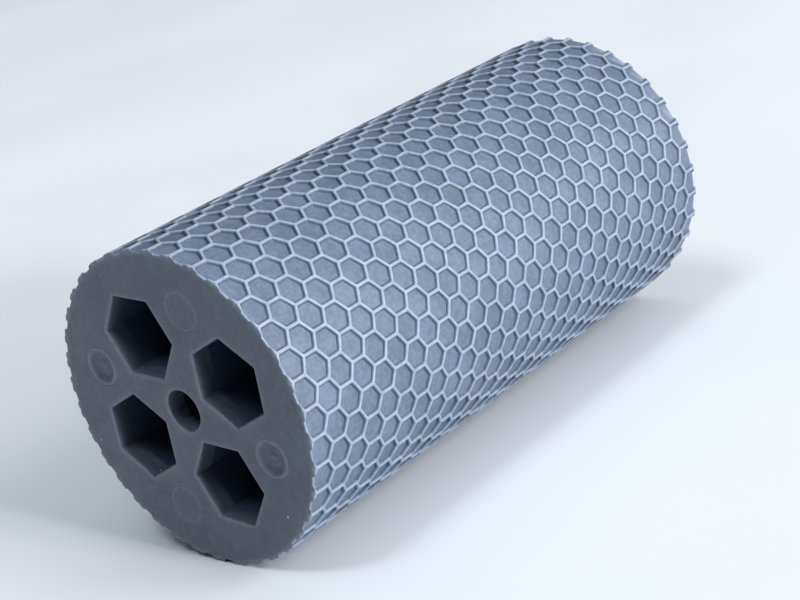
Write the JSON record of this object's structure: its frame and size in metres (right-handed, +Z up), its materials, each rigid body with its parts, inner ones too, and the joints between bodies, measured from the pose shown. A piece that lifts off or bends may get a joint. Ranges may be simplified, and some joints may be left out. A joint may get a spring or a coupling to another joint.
{
  "type": "honeycomb roller barrel",
  "caption": "Cylindrical roller barrel with a honeycomb-ribbed sleeve, hexagonal through channels and a plain bore, turning freely on its axle tube.",
  "frame": {"origin": "on the barrel's axis, half way between its two end faces", "axes": "+Y along the barrel's axis from the front face to the rear face, +Z up as the barrel lies on its side"},
  "size_m": [0.062, 0.1264, 0.062],
  "materials": {
    "barrel_body": "matte moulded grey",
    "honeycomb_sleeve": "satin blue-grey with paler ribs",
    "pins": "matte moulded grey",
    "bushes": "plain sintered bearing",
    "axle_tube": "drawn tube"
  },
  "bodies": {
    "axle": {"axle_tube": "axle_tube"},
    "barrel": {"barrel_core": "barrel_body", "honeycomb_sleeve": "honeycomb_sleeve", "front_end_disc": "barrel_body", "rear_end_disc": "barrel_body", "tie_rod_right": "pins", "tie_rod_left": "pins", "front_dowel_upper": "pins", "front_dowel_lower": "pins", "rear_dowel_upper": "pins", "rear_dowel_lower": "pins", "front_bush": "bushes", "rear_bush": "bushes"}
  },
  "joints": [
    {"name": "barrel_spin", "type": "hinge", "parent": "axle", "child": "barrel", "pos_m": [0, 0, 0], "axis": [0, 1, 0], "continuous": true}
  ]
}
